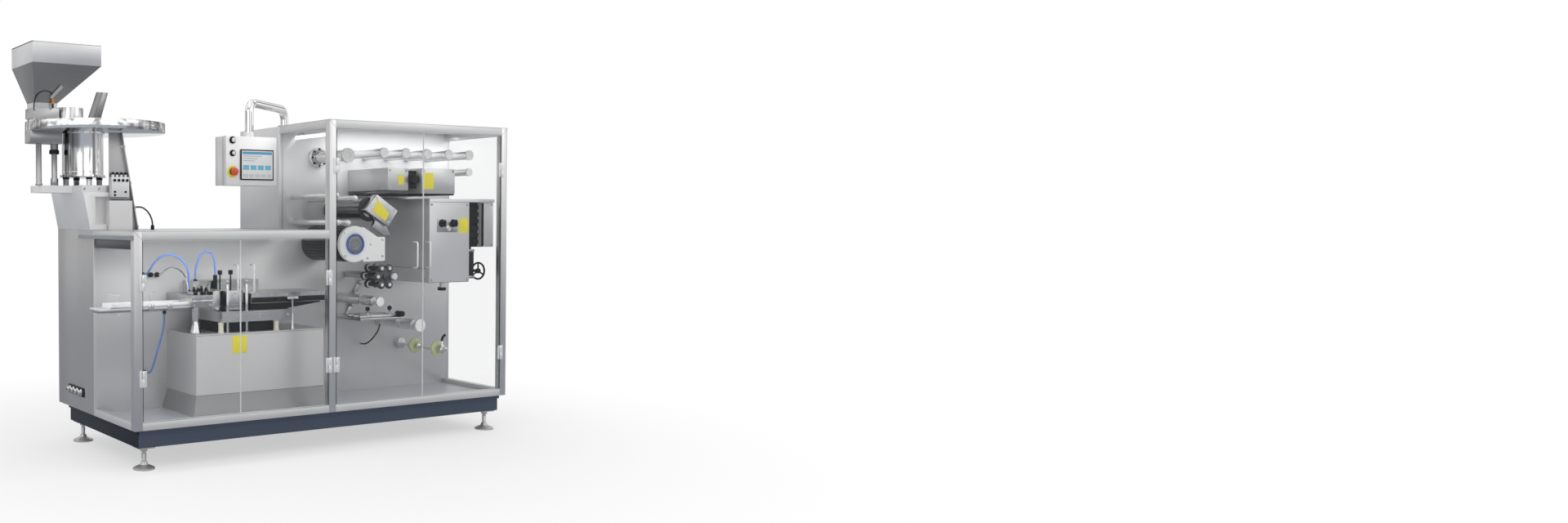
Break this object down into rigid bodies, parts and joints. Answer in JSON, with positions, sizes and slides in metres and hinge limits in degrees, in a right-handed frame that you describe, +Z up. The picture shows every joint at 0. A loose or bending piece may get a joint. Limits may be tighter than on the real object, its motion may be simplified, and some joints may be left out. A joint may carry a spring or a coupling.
{
  "type": "blister packing machine",
  "caption": "Cabinet packing machine with a low forming bay and a tall web bay behind clear hinged doors, a hopper-fed bowl feeder on one end and a swivelling operator pendant.",
  "frame": {"origin": "on the floor, under the middle of the model's box", "axes": "+Z up, +X along the machine from the feeder end to the tall end, -Y towards the doors"},
  "size_m": [2.78, 1.242, 2.26],
  "materials": {
    "satin_steel": "satin",
    "frame_steel": "satin",
    "bright_steel": "polished",
    "hopper_steel": "satin",
    "navy_paint": "satin",
    "clear_pane": "gloss",
    "black_plastic": "satin",
    "dark_roller": "satin",
    "white_cast": "satin",
    "blue_ring": "gloss",
    "cone_plastic": "satin",
    "hose_blue": "gloss",
    "cable_black": "matte"
  },
  "bodies": {
    "machine": {"rear_cabinet": "satin_steel", "tall_cabinet": "satin_steel", "mounting_wall": "satin_steel", "deck_floor": "satin_steel", "feeder_pedestal": "satin_steel", "hopper_support": "satin_steel", "chute_cover": "satin_steel", "feeder_boxes": "satin_steel", "press_housing": "satin_steel", "press_platens": "satin_steel", "cutting_head": "satin_steel", "print_housings": "satin_steel", "roller_guard": "satin_steel", "control_cabinet": "satin_steel", "drive_box": "satin_steel", "end_duct": "satin_steel", "bowl_fittings": "satin_steel", "splice_station": "satin_steel", "frame_posts": "frame_steel", "frame_rails": "frame_steel", "roof_sheets": "frame_steel", "side_ledge": "frame_steel", "feeder_drum": "bright_steel", "feeder_bowl": "bright_steel", "discharge_chute": "bright_steel", "guide_rollers": "bright_steel", "press_posts": "bright_steel", "pendant_arm": "bright_steel", "frame_hinges": "bright_steel", "levelling_feet": "bright_steel", "hopper": "hopper_steel", "base_plinth": "navy_paint", "left_window": "clear_pane", "side_windows": "clear_pane", "press_heaters": "black_plastic", "print_head": "black_plastic", "hose_fittings": "black_plastic", "drive_motor": "black_plastic", "sealing_rollers": "dark_roller", "drum_end_plate": "white_cast", "bearing_ring": "blue_ring", "long_hose": "hose_blue", "loop_hose": "hose_blue", "low_hose": "hose_blue", "top_cable": "cable_black", "reel_cable": "cable_black"},
    "low_left_leaf": {"low_left_door": "clear_pane", "low_left_fittings": "bright_steel"},
    "low_right_leaf": {"low_right_door": "clear_pane", "low_right_fittings": "bright_steel"},
    "tall_left_leaf": {"tall_left_door": "clear_pane", "tall_left_fittings": "bright_steel"},
    "tall_right_leaf": {"tall_right_door": "clear_pane", "tall_right_fittings": "bright_steel"},
    "pendant": {"pendant_box": "frame_steel", "pendant_controls": "black_plastic"},
    "star": {"star_wheel": "dark_roller"},
    "reel": {"reel_shaft": "bright_steel", "reel_cones": "cone_plastic"}
  },
  "joints": [
    {"name": "low_left_door_hinge", "type": "hinge", "parent": "machine", "child": "low_left_leaf", "pos_m": [-1.0375, -0.582, 0.215], "axis": [0, 0, -1], "range_deg": [0, 110]},
    {"name": "low_right_door_hinge", "type": "hinge", "parent": "machine", "child": "low_right_leaf", "pos_m": [0.0925, -0.582, 0.215], "axis": [0, 0, 1], "range_deg": [0, 90]},
    {"name": "tall_left_door_hinge", "type": "hinge", "parent": "machine", "child": "tall_left_leaf", "pos_m": [0.1425, -0.582, 0.215], "axis": [0, 0, -1], "range_deg": [0, 90]},
    {"name": "tall_right_door_hinge", "type": "hinge", "parent": "machine", "child": "tall_right_leaf", "pos_m": [1.3425, -0.582, 0.215], "axis": [0, 0, 1], "range_deg": [0, 110]},
    {"name": "pendant_swivel", "type": "hinge", "parent": "machine", "child": "pendant", "pos_m": [-0.242, -0.26, 1.757], "axis": [0, 0, 1], "range_deg": [-60, 60]},
    {"name": "star_spin", "type": "hinge", "parent": "machine", "child": "star", "pos_m": [0.582, -0.286, 0.959], "axis": [0, 1, 0], "continuous": true},
    {"name": "reel_spin", "type": "hinge", "parent": "machine", "child": "reel", "pos_m": [0.983, -0.054, 0.508], "axis": [0, 1, 0], "continuous": true}
  ]
}
